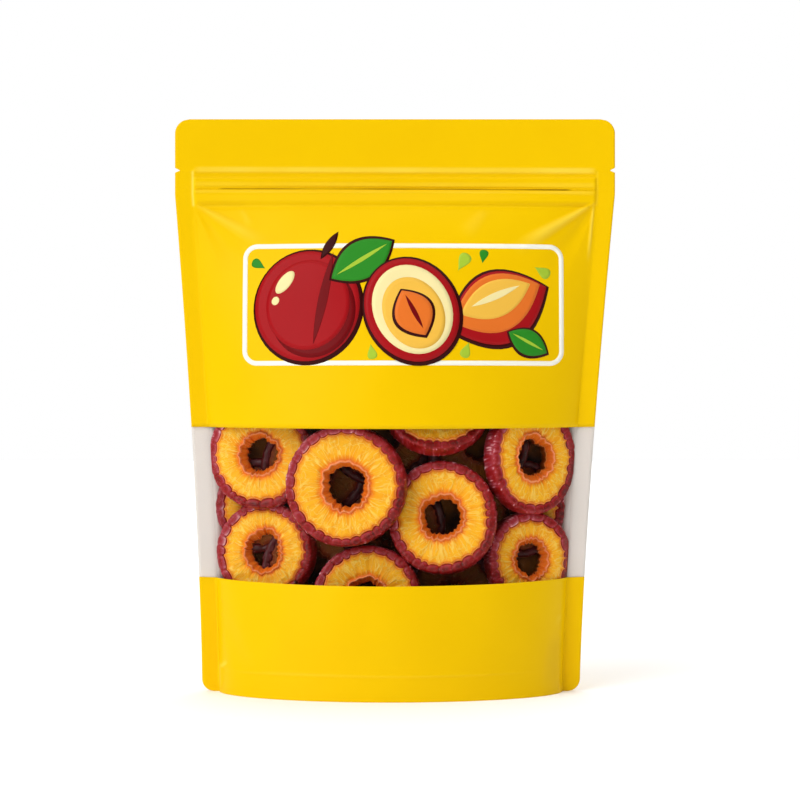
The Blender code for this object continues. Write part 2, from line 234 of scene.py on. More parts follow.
# Each printed motif, in mm and degrees from the middle of the frame: its middle, half length and half
# width, turn, ink, and the layer of ink that it is
Motif = namedtuple("Motif", "shape x z length width turn ink layer")
MOTIFS = (
    Motif("leaf", -14.0, 15.0, 13.0, 7.4, 32, "outline", 6),
    Motif("leaf", -14.0, 15.0, 12.0, 6.4, 32, "leaf_green", 7),
    Motif("leaf", -14.0, 15.2, 10.0, 0.7, 32, "lime", 8),
    Motif("oval", -32.0, -1.0, 19.8, 18.6, 70, "outline", 1),
    Motif("oval", -32.4, -0.6, 18.8, 17.6, 70, "plum_red", 2),
    Motif("oval", -30.4, -2.6, 15.6, 14.2, 70, "deep_red", 3),
    Motif("oval", -32.2, -0.2, 15.4, 14.0, 70, "plum_red", 4),
    Motif("leaf", -27.0, 2.0, 16.0, 1.6, 78, "deep_red", 5),
    Motif("oval", -40.0, 7.5, 4.6, 2.0, 52, "cream", 5),
    Motif("oval", -43.2, 1.2, 1.5, 1.2, 60, "cream", 5),
    Motif("leaf", -25.0, 20.0, 5.6, 1.5, 58, "outline", 5),
    Motif("oval", 3.0, -2.4, 19.0, 16.4, -62, "outline", 9),
    Motif("oval", 2.8, -2.0, 18.0, 15.4, -62, "plum_red", 10),
    Motif("oval", 3.0, -1.8, 15.6, 13.0, -62, "cream", 11),
    Motif("oval", 3.4, -3.0, 12.6, 10.0, -62, "amber", 12),
    Motif("leaf", 3.4, -3.2, 9.4, 7.4, -62, "outline", 13),
    Motif("leaf", 3.4, -3.0, 8.5, 6.4, -62, "orange", 14),
    Motif("leaf", 3.6, -2.6, 6.4, 0.8, -62, "deep_red", 15),
    Motif("leaf", 32.0, -1.6, 19.0, 13.6, 24, "outline", 1),
    Motif("leaf", 32.0, -1.2, 18.0, 12.4, 24, "plum_red", 2),
    Motif("leaf", 31.4, 0.4, 16.2, 9.8, 24, "orange", 3),
    Motif("leaf", 31.0, 1.8, 13.0, 6.2, 24, "amber", 4),
    Motif("leaf", 31.0, 2.8, 9.0, 1.2, 24, "cream", 5),
    Motif("leaf", 42.0, -13.0, 8.2, 5.0, -28, "outline", 6),
    Motif("leaf", 42.0, -12.8, 7.4, 4.2, -28, "leaf_green", 7),
    Motif("leaf", 42.0, -12.6, 6.0, 0.5, -28, "lime", 8),
    Motif("drop", 20.0, 14.2, 3.4, 2.6, -120, "lime", 1),
    Motif("drop", 27.0, 16.2, 2.4, 1.9, -100, "leaf_green", 1),
    Motif("drop", 47.0, 11.4, 3.0, 2.3, 150, "lime", 1),
    Motif("drop", 21.0, -15.4, 2.8, 2.1, 70, "lime", 1),
    Motif("drop", -49.0, 13.6, 2.6, 2.0, -30, "leaf_green", 1),
    Motif("drop", -10.6, -16.0, 2.6, 2.0, 100, "lime", 1),
)
LAYER = 0.016 * MM

# Each wide lamp: the direction it shines from, its share of daylight white and its width in degrees
Lamp = namedtuple("Lamp", "name x y z share angle")
LAMPS = (
    Lamp("key_from_left", -0.62, -0.60, 0.50, 0.60, 50),
    Lamp("fill_from_front", 0.15, -0.90, 0.35, 0.19, 120),
    Lamp("top_light", 0.0, 0.20, 0.97, 0.75, 100),
    Lamp("back_light", 0.35, 0.85, 0.30, 0.40, 120),
)

# Camera: its place across and up in metres, focal length and picture width in pixels, sensor in mm
CAMERA_X = 0.00171
CAMERA_Z = 0.0996
FOCAL_PIXELS = 2336
FRAME_PIXELS = 800
SENSOR = 36


def linear(code):
    """Turns an sRGB hex value such as FFCC00 to linear red, green and blue."""
    parts = [int(code[start:start + 2], 16) / 255 for start in (0, 2, 4)]
    return tuple(c / 12.92 if c <= 0.04045 else ((c + 0.055) / 1.055) ** 2.4 for c in parts)


def paint(code):
    """The same with an opaque alpha, as shader sockets want it."""
    return (*linear(code), 1.0)


def clamp(value, low=0.0, high=1.0):
    return max(low, min(high, value))


def smooth(value):
    """An S-shaped step from 0 to 1."""
    value = clamp(value)
    return value * value * (3 - 2 * value)


def hump(distance, half):
    """A rounded bump, 1 in its middle and 0 from its half width outwards."""
    return (1 - min(1.0, abs(distance) / half) ** 2) ** 2


# Shape of the film


def half_width(z):
    return BASE_HALF_WIDTH + (MOUTH_HALF_WIDTH - BASE_HALF_WIDTH) * clamp(z / TAPER_TOP) ** TAPER_POWER


def middle(z):
    return LEAN * (1 - clamp(z / ZIP_HEIGHT))


def reach(z):
    """From the middle to the inner line of the side seals."""
    return half_width(z) - SIDE_SEAL


def edge(z):
    """From the middle to the cut edge, with its rounded corners and tear notches."""
    width = half_width(z)
    for radius, rise in ((TOP_CORNER_RADIUS, HEIGHT - z), (BOTTOM_CORNER_RADIUS, z)):
        if rise < radius:
            width -= radius - math.sqrt(max(0.0, radius**2 - (radius - rise) ** 2))
    return width - NOTCH_DEPTH * max(0.0, 1 - abs(z - NOTCH_HEIGHT) / NOTCH_HALF_HEIGHT)


def bulge(x, z):
    """How far a filled panel stands out from the plane of the seals."""
    share = clamp(z / ZIP_HEIGHT)
    across = min(1.0, abs(x - middle(z)) / reach(z))
    power = SECTION_POWER_BASE + (SECTION_POWER_ZIP - SECTION_POWER_BASE) * share**0.8
    return BASE_BOW * (1 - share**2) ** BOW_POWER * (1 - across**2) ** power


def fold_rise(fold, x, z):
    """What one fold adds at a place: a ridge or a dent that fades at both ends."""
    run = Vector((fold.end_x - fold.x, fold.end_z - fold.z))
    from_start = Vector((x - fold.x, z - fold.z))
    along = from_start.dot(run) / run.length_squared
    if not -FOLD_RUN_OUT < along < 1 + FOLD_RUN_OUT:
        return 0.0
    distance = abs(from_start.x * run.y - from_start.y * run.x) / run.length
    half = fold.half_width + (fold.end_half_width - fold.half_width) * clamp(along)
    ends = smooth((along + FOLD_RUN_OUT) / 0.35), smooth((1 + FOLD_RUN_OUT - along) / 0.6)
    return fold.rise * hump(distance, half * 1.6) * ends[0] * ends[1]


def band_slope(band, x, z):
    """The slope of a header line from 0 up to 1, and its short step back."""
    z += HEADER_TILT * x
    if z > band.low:
        return smooth((band.high - z) / (band.high - band.low))
    return smooth(1 - (band.low - z) / STEP_BACK)


def painted_light_tone(x, z, side):
    """Painted highlight, up to 1, and painted shade, down to -1, along lines, folds and the seals' ticks."""
    to_seal = reach(z) - abs(x - middle(z))
    tone = 0.0
    leaning = z + HEADER_TILT * x
    for band in HEADER_BANDS:
        half = (band.high - band.low) / 2
        is_groove = band.tone < -0.5
        end = smooth((to_seal - (GROOVE_END if is_groove else 0.0)) / 0.003)
        patchy = 0.75 + 0.5 * noise.noise(Vector((x * 60, band.high * 900, side)))
        tone += band.tone * patchy * end * smooth(1.6 - abs(leaning - (band.high + band.low) / 2) / half)
    for fold in FRONT_FOLDS if side < 0 else BACK_FOLDS:
        tone += fold.tone * fold_rise(fold, x, z) / fold.rise
    # Painted highlight: a pale tick beside each seal, strong on the left where the light comes from
    tick = hump(to_seal, TICK_HALF_WIDTH) * smooth((z - TICK_LOW) / 0.001) * smooth((TICK_HIGH - z) / 0.001)
    return tone + (0.8 if x < 0 else 0.1) * tick


def relief(x, z, side):
    """Lines, folds and soft waves of a panel, measured outwards; side is -1 in front."""
    to_seal = reach(z) - abs(x - middle(z))
    rise = 0.0
    sealed = smooth(to_seal / 0.0012)
    for band in HEADER_BANDS:
        rise += band.rise * band_slope(band, x, z) * (0.1 + 0.9 * sealed)
    plateau = smooth((z - ZIP_PLATEAU_LOW) / 0.003) * smooth((ZIP_PLATEAU_HIGH - z) / 0.001)
    rise += ZIP_PLATEAU_RISE * plateau * sealed
    for fold in FRONT_FOLDS if side < 0 else BACK_FOLDS:
        rise += fold_rise(fold, x, z)
    ridge = hump(to_seal, SEAL_RIDGE_HALF_WIDTH)
    rise += SEAL_RIDGE * ridge * smooth((ZIP_PLATEAU_LOW - z) / 0.004)
    # The waves die out near the seals, the base and the zip. No dent takes much of the bulge
    calm = smooth(to_seal / 0.016) * smooth(z / 0.012) * smooth((ZIP_HEIGHT - 0.004 - z) / 0.02)
    waves = sum(noise.noise(Vector((x * wave.across, z * wave.up, wave.shift * side))) * wave.height
                for wave in WAVES)
    return max(rise + waves * calm, -0.4 * bulge(x, z) - 0.00002)


def print_dip(x, z):
    """How far the printed edges beside the clear band hang lower in the middle."""
    across = clamp(1 - ((x - middle(z)) / half_width(z)) ** 2)
    high = WINDOW_HIGH_DIP * smooth(1 - abs(z - WINDOW_HIGH) / DIP_REACH)
    low = WINDOW_LOW_DIP * smooth(1 - abs(z - WINDOW_LOW) / DIP_REACH)
    return across * (high + low)


def pinch(x, z):
    """How much of its bulge the lining keeps: beside the seals it lies close to the clear band."""
    return LINING_KEPT + (1 - LINING_KEPT) * smooth((reach(z) - abs(x - middle(z))) / LINING_PINCH)


def film_place(share, z, side, base, lining):
    """A place on a film: share runs from -1 to 1 across it, base is how far its seals lie from y 0."""
    if abs(share) <= SEAM_SHARE:
        x = middle(z) + reach(z) * math.sin(share / SEAM_SHARE * math.pi / 2)
    else:
        outer = (abs(share) - SEAM_SHARE) / (1 - SEAM_SHARE)
        inner_x = middle(z) + math.copysign(reach(z), share)
        outer_x = middle(z) + math.copysign(edge(z), share)
        x = inner_x + (outer_x - inner_x) * outer
    z -= print_dip(x, z)
    out = bulge(x, z) * (pinch(x, z) if lining else 1.0)
    return Vector((x, side * (base + out + relief(x, z, side)), z))


def film_rows(low, high):
    """Heights of a film's rows, close together at lines, notches, folds and corners."""
    rows = [low]
    while rows[-1] < high - CLOSE_ROW:
        z = rows[-1]
        step = CLOSE_ROW if any(start <= z <= end for start, end in CLOSE_STRIPS) else ROW
        if CLOSEST_STRIP[0] <= z <= CLOSEST_STRIP[1]:
            step = CLOSE_ROW / 2
        rows.append(min(high, z + step))
    rows[-1] = high
    return rows


def face_towards(bm, out):
    """Turns a sheet so that on the whole its faces look out that way."""
    bmesh.ops.recalc_face_normals(bm, faces=bm.faces[:])
    if sum(face.normal.dot(out) * face.calc_area() for face in bm.faces) < 0:
        bmesh.ops.reverse_faces(bm, faces=bm.faces[:])


def film_sheet(low, high, side, base, columns, lining=False):
    """One panel of film as a single sheet, facing out; its painted highlight and shade are kept for its
    material.
    """
    rows = film_rows(low, high)
    bm = bmesh.new()
    painted_light_layer = bm.verts.layers.float.new("painted_light_tone")
    bmesh.ops.create_grid(bm, x_segments=columns, y_segments=len(rows) - 1, size=1)
    for vert in bm.verts:
        z = rows[round((vert.co.y + 1) / 2 * (len(rows) - 1))]
        vert.co = film_place(vert.co.x, z, side, base, lining)
        vert[painted_light_layer] = painted_light_tone(vert.co.x, vert.co.z, side)
    face_towards(bm, Vector((0, side, 0)))
    return bm


def gusset_sheet(film):
    """The base film: up inside both panels to its seal, then down to a belly on the floor."""
    bm = bmesh.new()
    bmesh.ops.create_grid(bm, x_segments=90, y_segments=60, size=1)
    for vert in bm.verts:
        share, depth = vert.co.x, vert.co.y
        side = math.copysign(1.0, depth)
        x = middle(0) + (reach(0) - 0.0012) * math.sin(share * math.pi / 2)
        # The panel that it is sealed to curves, so its place is read a little further out
        outer_x = x + math.copysign(0.0008, x - middle(0))
        walls = 2.2 * film.thickness
        up = (1 - abs(depth)) / GUSSET_SKIRT
        if up < 1:
            z = GUSSET_SEAL_HEIGHT * up
            inset = film.fin_half + bulge(outer_x, z) - walls - GUSSET_INSET * up
            inset += min(0.0, relief(x, z, side))
        else:
            run = abs(depth) / (1 - GUSSET_SKIRT)
            z = GUSSET_SEAL_HEIGHT * run**GUSSET_DROP_POWER
            z -= GUSSET_TUCK * smooth((run - 0.9) / 0.1)
            inset = (film.fin_half + bulge(outer_x, GUSSET_SEAL_HEIGHT) - walls - GUSSET_INSET) * run
        vert.co = (x, side * max(0.0, inset), max(0.00002, z))
    face_towards(bm, Vector((0, 0, -1)))
    return bm


# Pieces and materials


def add_piece(name, bm, materials, slot, *replaced):
    """Makes a mesh object at the origin and ties it to the frame."""
    mesh = bpy.data.meshes.new(name)
    bm.to_mesh(mesh)
    bm.free()
    mesh.polygons.foreach_set("use_smooth", [True] * len(mesh.polygons))
    for material in materials:
        mesh.materials.append(material)
    piece = bpy.data.objects.new(name, mesh)
    bpy.context.scene.collection.objects.link(piece)
    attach(piece, "root")
    if replaced:
        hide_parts(*replaced)
    return piece


def add_wall(piece, thickness, inside=0):
    """Gives a sheet its thickness, inwards, with the material that lies inside places further on."""
    wall = piece.modifiers.new("wall", "SOLIDIFY")
    wall.thickness = thickness
    wall.offset = -1
    wall.material_offset = inside


def fill(tree, made, inputs):
    """Sets a node's inputs, by name or number: plain values, sockets, or nodes for their first output."""
    for name, value in inputs.items():
        if isinstance(value, bpy.types.Node):
            value = next(socket for socket in value.outputs if socket.enabled)
        if isinstance(value, bpy.types.NodeSocket):
            tree.links.new(value, made.inputs[name])
        else:
            made.inputs[name].default_value = value


def node(tree, kind, inputs=None, stops=(), **settings):
    """Adds a shader node with its settings and links; stops are the places and hex colours of a ramp."""
    made = tree.nodes.new("ShaderNode" + kind)
    for name, value in settings.items():
        setattr(made, name, value)
    fill(tree, made, inputs or {})
    for place, (position, code) in enumerate(stops):
        elements = made.color_ramp.elements
        stop = elements[place] if place < 2 else elements.new(position)
        stop.position = position
        stop.color = paint(code)
    return made


def new_material(name):
    """A material with its tree, cleared but for the shader and the output."""
    made = bpy.data.materials.get(name) or bpy.data.materials.new(name)
    made.use_nodes = True
    made.node_tree.nodes.clear()
    shader = node(made.node_tree, "BsdfPrincipled")
    node(made.node_tree, "OutputMaterial", {"Surface": shader})
    return made, made.node_tree, shader


def satin_film(name, colour, shade, roughness, specular):
    """Gravure-printed PET laminate with a satin lacquer.

    The eye gets one saturated ink with faint clouds and a fine grain. Along pressed lines and folds
    a painted highlight makes the ink pale, and painted shade makes it brown in the groove of the zip
    and in dents of the film.
    """
    made, tree, shader = new_material(name)
    place = node(tree, "TexCoord").outputs["Object"]
    clouds = node(tree, "TexNoise", {"Vector": place, "Scale": 1 / (22 * MM), "Detail": 2.0})
    ink = node(tree, "Mix", {0: clouds, 6: (*colour, 1), 7: (*shade, 1)}, data_type="RGBA")
    grain = node(tree, "TexNoise", {"Vector": place, "Scale": 1 / (0.5 * MM), "Detail": 2.0})
    sheen = node(tree, "MapRange", {"Value": grain, "To Min": roughness - 0.04, "To Max": roughness + 0.05})
    bump = node(tree, "Bump", {"Height": grain, "Strength": 0.05, "Distance": 0.05 * MM})
    # Light painted into the ink: pale painted highlights, then brown painted shade
    painted_light_fac = node(tree, "Attribute", attribute_name="painted_light_tone").outputs["Fac"]
    painted_highlight = node(tree, "MapRange", {"Value": painted_light_fac, "To Max": 0.55})
    ink_with_painted_highlight = node(tree, "Mix", {0: painted_highlight, 6: ink, 7: paint("FFF070")}, data_type="RGBA")
    painted_groove_shade = node(tree, "MapRange", {"Value": painted_light_fac, "From Max": -1.0, "To Max": 0.75})
    ink_with_painted_light = node(tree, "Mix", {0: painted_groove_shade, 6: ink_with_painted_highlight, 7: paint("6E4000")}, data_type="RGBA")
    fill(tree, shader, {
        "Base Color": ink_with_painted_light, "Roughness": sheen, "Normal": bump, "Specular IOR Level": specular,
    })
    return made


def clear_film():
    """Unprinted polyethylene: nearly unseen from in front, denser at a slant, with a wavy gloss."""
    made, tree, shader = new_material("clear_polyethylene")
    place = node(tree, "TexCoord").outputs["Object"]
    pull = node(tree, "TexNoise", {"Vector": place, "Scale": 1 / (9 * MM), "Detail": 1.0})
    gloss = node(tree, "MapRange", {"Value": pull, "To Min": 0.10, "To Max": 0.18})
    bump = node(tree, "Bump", {"Height": pull, "Strength": 0.2, "Distance": 0.2 * MM})
    slant = node(tree, "LayerWeight", {"Blend": 0.3, "Normal": bump}).outputs["Facing"]
    seen = node(tree, "MapRange", {"Value": slant, "From Min": 0.25, "To Min": 0.015, "To Max": 0.16})
    fill(tree, shader, {
        "Base Color": paint("3A3630"), "Roughness": gloss, "Normal": bump, "Alpha": seen,
        "Specular IOR Level": 0.2, "IOR": 1.5,
    })
    return made


def heap_shade(tree, place, shade):
    """Share of the shade between the rings, which fades where light comes in at the window's ends."""
    across = node(tree, "SeparateXYZ", {"Vector": place})
    away = node(tree, "Math", {0: across}, operation="ABSOLUTE")
    return node(tree, "MapRange", {"Value": away, "From Min": 48 * MM, "From Max": 55 * MM, "To Min": shade,
                                   "To Max": shade * 0.25})


def fibre_lines(tree, place, grain, share):
    """Thin lines on the cut face: fibres that run out from the hole, then loops towards the skin."""
    fibres = node(tree, "TexNoise", {"Vector": grain, "Scale": 1.5, "Detail": 1.0, "Distortion": 0.8})
    loops = node(tree, "TexNoise", {"Vector": place, "Scale": 1 / (3.2 * MM), "Detail": 0.5,
                                    "Distortion": 1.2})
    inner = node(tree, "MapRange", {"Value": share, "From Min": 0.85, "From Max": 0.4, "To Min": 0.15})
    outer = node(tree, "MapRange", {"Value": share, "From Min": 0.3, "From Max": 0.6})
    lines = []
    for pattern, part in ((fibres, inner), (loops, outer)):
        away = node(tree, "Math", {0: pattern, 1: 0.5}, operation="SUBTRACT")
        away = node(tree, "Math", {0: away}, operation="ABSOLUTE")
        line = node(tree, "MapRange", {"Value": away, "From Min": 0.05, "From Max": 0.01},
                    interpolation_type="SMOOTHSTEP")
        lines.append(node(tree, "Math", {0: line, 1: part}, operation="MULTIPLY"))
    return node(tree, "Math", {0: lines[0], 1: lines[1]}, operation="MAXIMUM")


def dried_flesh(name, shade):
    """Plum flesh, sliced across and air-dried; shade darkens it, deeper in the heap.

    The eye gets amber with pale thin fibres and loops, golden fields between them, orange beside
    the skin and the hole, a peach lip, and a deep orange wall that ends in a frilled edge. Beside the
    skin a pale painted highlight and painted shade lie on the flesh's edge, and behind the frilled edge
    the wall turns brown with painted shade.
    """
    made, tree, shader = new_material(name)
    place = node(tree, "TexCoord").outputs["Object"]
    share = node(tree, "Attribute", attribute_name="share").outputs["Fac"]
    gap = node(tree, "Attribute", attribute_name="gap").outputs["Fac"]
    grain = node(tree, "Attribute", attribute_name="grain").outputs["Vector"]

    # From the wall of the hole, below a half of the ramp, over the lip to the face, where the
    # borders wander. Behind the frilled edge the wall darkens to brown towards the back: painted shade
    # in the hole
    wander = node(tree, "TexNoise", {"Vector": grain, "Scale": 0.9, "Detail": 2.0})
    moved = node(tree, "Math", {0: wander, 1: 0.10, 2: -0.05}, operation="MULTIPLY_ADD")
    on_face = node(tree, "MapRange", {"Value": share, "From Min": 0.04, "From Max": 0.2})
    moved = node(tree, "Math", {0: moved, 1: on_face, 2: share}, operation="MULTIPLY_ADD")
    spread = node(tree, "MapRange", {"Value": moved, "From Min": -1.0, "From Max": 1.0})
    base = node(tree, "ValToRGB", {"Fac": spread}, (
        (0.0, "4A2206"), (1.0, "FAB020"), (0.25, "8A3E0A"), (0.285, "E89050"), (0.31, "D8661A"),
        (0.44, "E0701C"), (0.492, "FBA274"), (0.515, "F59A62"), (0.53, "E8702A"), (0.56, "F08C1A"),
        (0.62, "FBAE1C"), (0.76, "FDB822")))

    # Beside the skin, by the distance to it in mm: dark painted shade right under the skin's edge, a
    # pale painted highlight on the flesh's edge, and an orange band that is partly the flesh's own colour
    # and partly painted shade
    rim = node(tree, "ValToRGB", {"Fac": gap}, (
        (0.0, "E0642A"), (1.0, "EE9418"), (0.12, "FFA660"), (0.24, "FF9E50"), (0.42, "E07410")))
    painted_rim_share = node(tree, "MapRange", {"Value": gap, "From Min": 1.9, "From Max": 0.5, "To Max": 0.95})
    flesh_with_painted_rim = node(tree, "Mix", {0: painted_rim_share, 6: base, 7: rim}, data_type="RGBA")

    fields = node(tree, "TexNoise", {"Vector": grain, "Scale": 1.2, "Detail": 2.0})
    golden = node(tree, "MapRange", {"Value": fields, "From Min": 0.52, "From Max": 0.36, "To Max": 0.45})
    deep = node(tree, "Mix", {0: golden, 6: flesh_with_painted_rim, 7: paint("F0D080")}, data_type="RGBA",
                blend_type="MULTIPLY")

    line = fibre_lines(tree, place, grain, share)
    inland = node(tree, "MapRange", {"Value": gap, "From Min": 0.5, "From Max": 1.5, "To Min": 0.1})
    faint = node(tree, "Math", {0: line, 1: 0.7}, operation="MULTIPLY")
    for part in (on_face, inland):
        faint = node(tree, "Math", {0: faint, 1: part}, operation="MULTIPLY")
    light = node(tree, "Mix", {0: faint, 6: deep, 7: paint("FFD866")}, data_type="RGBA")
    shaded = node(tree, "Mix", {0: heap_shade(tree, place, shade), 6: light, 7: paint("6A4018")},
                  data_type="RGBA", blend_type="MULTIPLY")

    pores = node(tree, "TexNoise", {"Vector": place, "Scale": 1 / (0.8 * MM), "Detail": 2.0})
    height = node(tree, "Math", {0: fields, 1: 3.0, 2: pores}, operation="MULTIPLY_ADD")
    height = node(tree, "Math", {0: line, 1: 2.4, 2: height}, operation="MULTIPLY_ADD")
    bump = node(tree, "Bump", {"Height": height, "Strength": 0.5, "Distance": 0.13 * MM})
    fill(tree, shader, {
        "Base Color": shaded, "Normal": bump, "Roughness": 0.42, "Specular IOR Level": 0.12,
        "Subsurface Weight": 0.2, "Subsurface Radius": (1.0, 0.4, 0.08), "Subsurface Scale": 1.2 * MM,
    })
    return made


def plum_skin(name, shade):
    """Plum skin, dried and shrunk to puckers; shade darkens it, deeper in the heap.

    The eye gets deep red to burgundy, with rosy painted highlights on what stands out, towards the
    upper left and on crinkles, painted shade in the creases and under the edge, and a wet shine.
    """
    made, tree, shader = new_material(name)
    place = node(tree, "TexCoord").outputs["Object"]
    painted_skin_light = node(tree, "Attribute", attribute_name="painted_skin_light").outputs["Fac"]
    patches = node(tree, "TexNoise", {"Vector": place, "Scale": 1 / (4 * MM), "Detail": 3.0})
    mixed = node(tree, "Math", {0: patches, 1: 0.8, 2: -0.4}, operation="MULTIPLY_ADD")
    mixed = node(tree, "Math", {0: mixed, 1: painted_skin_light}, operation="ADD")
    # Ramp from dark painted shade through the skin's deep reds to pale painted highlight
    base = node(tree, "ValToRGB", {"Fac": mixed}, (
        (0.0, "300400"), (1.0, "ECB4B8"), (0.24, "7A0804"), (0.46, "961414"), (0.66, "A43440"),
        (0.82, "BC606A")))
    shaded = node(tree, "Mix", {0: heap_shade(tree, place, shade), 6: base, 7: paint("603C48")},
                  data_type="RGBA", blend_type="MULTIPLY")
    fine = node(tree, "TexNoise", {"Vector": place, "Scale": 1 / (0.9 * MM), "Detail": 2.0,
                                   "Roughness": 0.5})
    bump = node(tree, "Bump", {"Height": fine, "Strength": 0.25, "Distance": 0.4 * MM})
    gloss = node(tree, "MapRange", {"Value": patches, "To Min": 0.25, "To Max": 0.5})
    fill(tree, shader, {
        "Base Color": shaded, "Roughness": gloss, "Normal": bump, "Specular IOR Level": 0.25,
        "Coat Weight": 0.04, "Coat Roughness": 0.15, "Subsurface Weight": 0.1,
        "Subsurface Radius": (1.0, 0.15, 0.1), "Subsurface Scale": 1.0 * MM,
    })
    return made


def dark_flesh():
    """Flesh in the shade of the heap: brown, dull and lumpy."""
    made, tree, shader = new_material("shaded_dried_flesh")
    place = node(tree, "TexCoord").outputs["Object"]
    lumps = node(tree, "TexNoise", {"Vector": place, "Scale": 1 / (12 * MM), "Detail": 3.0})
    base = node(tree, "ValToRGB", {"Fac": lumps}, ((0.35, "180202"), (0.62, "7A4408")))
    bump = node(tree, "Bump", {"Height": lumps, "Strength": 0.8, "Distance": 1 * MM})
    fill(tree, shader, {
        "Base Color": base, "Normal": bump, "Roughness": 0.55, "Specular IOR Level": 0.08,
    })
    return made


def white_board():
    """Matt white board of the floor, with clouds too faint to see as such; it glows a little."""
    made, tree, shader = new_material("matt_white_board")
    place = node(tree, "TexCoord").outputs["Object"]
    clouds = node(tree, "TexNoise", {"Vector": place, "Scale": 3.0, "Detail": 1.0})
    tone = node(tree, "ValToRGB", {"Fac": clouds}, ((0.3, "F4F4F4"), (0.7, "F6F6F6")))
    fill(tree, shader, {
        "Base Color": tone, "Roughness": 0.9, "Specular IOR Level": 0.1, "Emission Color": tone,
        "Emission Strength": 0.06,
    })
    return made


# Dried rings


def uneven_turn(draw, count, spread):
    """Angles that part a full turn into uneven lengths, from 0 to 2 pi."""
    lengths = [1 + draw.uniform(-spread, spread) for _ in range(count)]
    total = sum(lengths)
    marks = [0.0]
    for length in lengths:
        marks.append(marks[-1] + length / total * math.tau)
    return marks


def part_of_turn(marks, angle):
    """Which part an angle lies in, and how far along it from 0 to 1."""
    angle %= math.tau
    index = min(len(marks) - 2, bisect.bisect_right(marks, angle) - 1)
    return index, (angle - marks[index]) / (marks[index + 1] - marks[index])


def oval(half_x, half_z, angle):
    """Distance from the middle of an oval to its line."""
    return 1 / math.hypot(math.cos(angle) / half_x, math.sin(angle) / half_z)


def squeezed(value, limit, knee):
    """Lets a length grow to its limit ever more slowly over the last stretch, the knee."""
    if value <= limit - knee:
        return value
    return limit - knee * math.exp(-(value - limit + knee) / knee)


def contained(spot):
    """Presses a place on the fruit back inside the film where it would stand out."""
    off = spot.x - middle(spot.z)
    off = math.copysign(squeezed(abs(off), reach(spot.z), SIDE_KNEE), off)
    x = middle(spot.z) + off
    room = bulge(x, spot.z) * (pinch(x, spot.z) if spot.y > 0 else 1.0)
    depth = max(LEAST_DEPTH, room - FILM_CLEARANCE)
    y = math.copysign(squeezed(abs(spot.y), depth, min(depth * 0.9, FRONT_KNEE)), spot.y)
    return Vector((x, y, spot.z))


